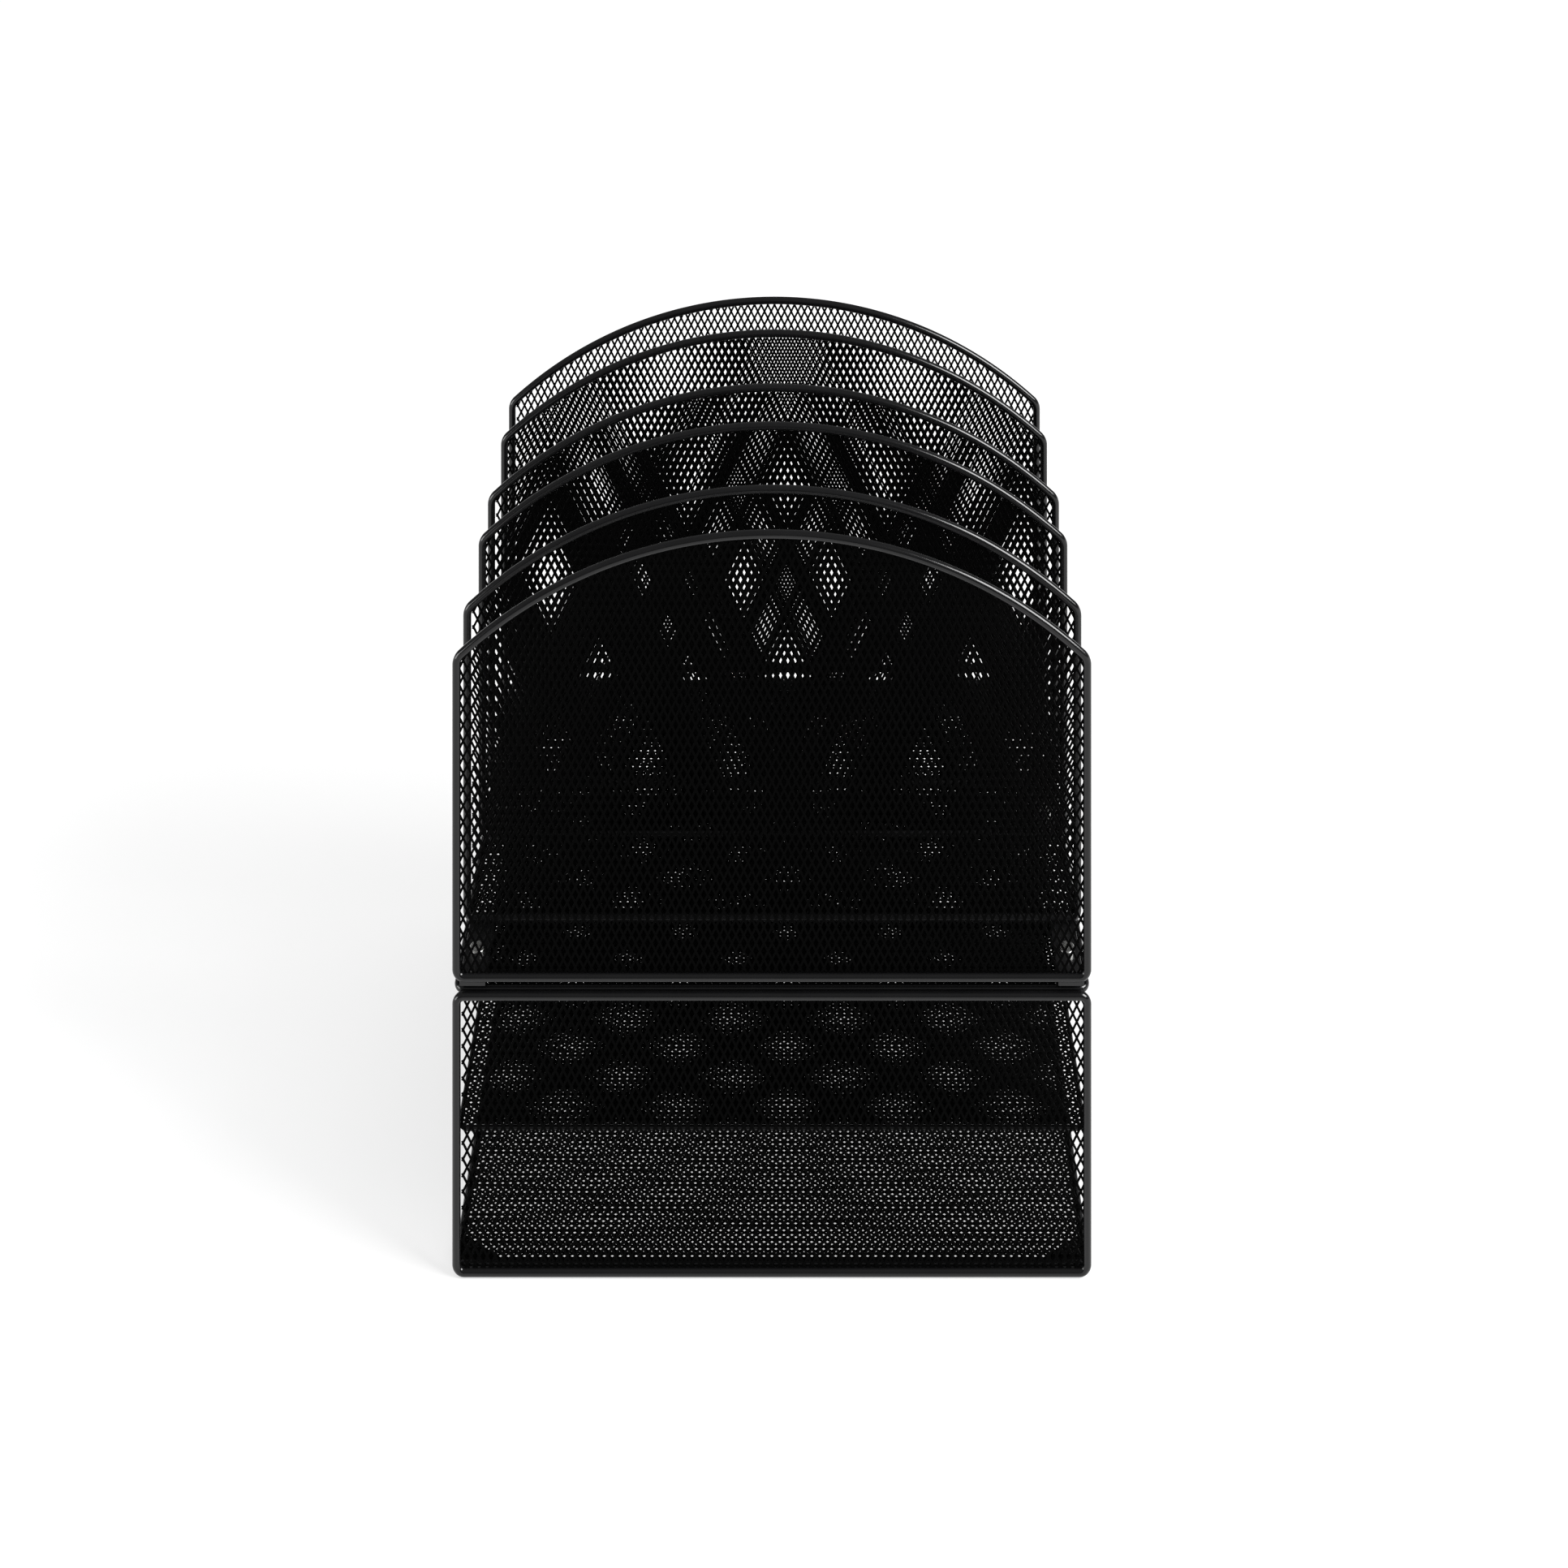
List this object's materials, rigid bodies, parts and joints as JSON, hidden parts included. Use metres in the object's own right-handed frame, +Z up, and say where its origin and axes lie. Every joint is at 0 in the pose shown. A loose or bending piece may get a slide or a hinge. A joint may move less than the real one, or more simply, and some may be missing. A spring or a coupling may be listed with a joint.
{
  "type": "desk organizer",
  "caption": "Black wire-and-mesh desk organizer: open-ended tray box with a middle shelf, and arched upright dividers bolted on its roof.",
  "frame": {"origin": "on the desk, under the middle of the object's bounding box", "axes": "+X along the dividers, from the left open end to the right one; +Y from the front panel to the back panel; +Z up"},
  "size_m": [0.32, 0.226, 0.3735],
  "materials": {
    "wire": "semi-gloss black powder coat on steel wire",
    "mesh": "satin black powder coat on expanded steel mesh",
    "plate": "semi-gloss black powder coat on flat steel bar",
    "pad": "matt black rubber",
    "spacer": "matt black rubber",
    "screw_zinc": "bright zinc-plated steel"
  },
  "bodies": {
    "root": {"bottom_frame": "wire", "corner_pads": "pad", "divider_1_frame": "wire", "divider_1_mesh": "mesh", "divider_2_frame": "wire", "divider_2_mesh": "mesh", "divider_3_frame": "wire", "divider_3_mesh": "mesh", "divider_4_frame": "wire", "divider_4_mesh": "mesh", "divider_5_frame": "wire", "divider_5_mesh": "mesh", "divider_6_frame": "wire", "divider_6_mesh": "mesh", "floor_mesh": "mesh", "lower_back_frame": "wire", "lower_back_mesh": "mesh", "lower_front_frame": "wire", "lower_front_mesh": "mesh", "nuts": "screw_zinc", "plate_back_left": "plate", "plate_back_right": "plate", "plate_front_left": "plate", "plate_front_right": "plate", "plate_middle_left": "plate", "plate_middle_right": "plate", "roof_mesh": "mesh", "screws": "screw_zinc", "shelf_frame": "wire", "shelf_mesh": "mesh", "spacers": "spacer", "top_frame": "wire", "washers": "screw_zinc"}
  },
  "joints": []
}
